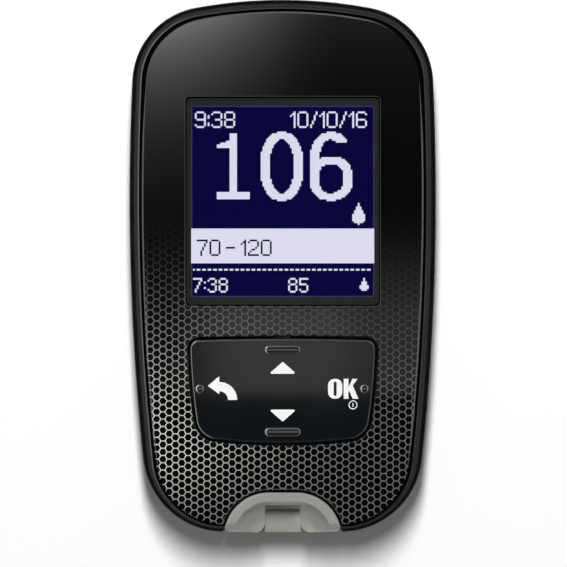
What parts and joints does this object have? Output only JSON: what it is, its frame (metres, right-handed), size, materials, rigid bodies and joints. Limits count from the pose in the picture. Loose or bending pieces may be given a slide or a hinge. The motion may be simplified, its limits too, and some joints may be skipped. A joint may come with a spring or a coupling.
{
  "type": "blood glucose meter",
  "caption": "Hand-held meter with a colour display, a rocking key panel, an end port for test strips with a side ejector, and a hinged battery door in the back.",
  "frame": {"origin": "centre of the plane that the back rests on", "axes": "+X to the user's right seen from the front, +Y along the body to the socket end, away from the strip port, +Z out of the front"},
  "size_m": [0.046, 0.08, 0.0199],
  "materials": {
    "shell_black": "fine spark-eroded texture",
    "rim_satin": "satin black",
    "panel_gloss": "high gloss black with a printed honeycomb pattern",
    "clear_lens": "polished, hard coated",
    "dark_frame": "matte print",
    "display_glass": "lit dot-matrix display",
    "white_plastic": "matte moulding",
    "amber_film": "polyimide film",
    "key_gloss": "gloss black with printed symbols",
    "natural_plastic": "natural acetal",
    "switch_metal": "stamped cover",
    "board_green": "solder mask",
    "chip_black": "moulded epoxy",
    "port_grey": "translucent grey, satin",
    "contact_gold": "gold flash",
    "button_grey": "satin dark grey",
    "spring_steel": "bright spring steel",
    "socket_steel": "plated steel",
    "cell_steel": "plated can",
    "screw_steel": "zinc plated",
    "led_white": "clear cap"
  },
  "bodies": {
    "housing": {"back_cover": "shell_black", "front_housing": "rim_satin", "front_panel": "panel_gloss", "display_lens": "clear_lens", "lcd_bezel": "dark_frame", "lcd_glass": "display_glass", "light_guide": "white_plastic", "lcd_holder": "white_plastic", "lcd_flex": "amber_film", "key_frame": "natural_plastic", "tact_switches": "switch_metal", "main_board": "board_green", "board_components": "chip_black", "strip_port": "port_grey", "strip_connector": "natural_plastic", "contact_springs": "contact_gold", "ejector_spring": "spring_steel", "usb_connector": "socket_steel", "coin_cells": "cell_steel", "battery_contacts": "spring_steel", "housing_screws": "screw_steel", "buzzer": "chip_black", "port_leds": "led_white"},
    "gimbal": {"key_gimbal": "natural_plastic"},
    "keys": {"key_panel": "key_gloss"},
    "ejector": {"ejector_button": "button_grey", "ejector_arm": "natural_plastic"},
    "door": {"battery_door": "shell_black"}
  },
  "joints": [
    {"name": "key_tilt_updown", "type": "hinge", "parent": "housing", "child": "gimbal", "pos_m": [0, -0.0186, 0.0154], "axis": [1, 0, 0], "range_deg": [-2.3, 2.3], "stiffness_Nm_per_rad": 0.25},
    {"name": "key_tilt_backok", "type": "hinge", "parent": "gimbal", "child": "keys", "pos_m": [0, -0.0186, 0.0154], "axis": [0, 1, 0], "range_deg": [-1.3, 1.3], "stiffness_Nm_per_rad": 0.8},
    {"name": "ejector_slide", "type": "slide", "parent": "housing", "child": "ejector", "axis": [0, -1, 0], "range_m": [0, 0.0035], "stiffness_N_per_m": 120, "deforming": ["ejector_spring"]},
    {"name": "battery_door_swing", "type": "hinge", "parent": "housing", "child": "door", "pos_m": [0, -0.0241, 0.0012], "axis": [-1, 0, 0], "range_deg": [0, 60]}
  ]
}
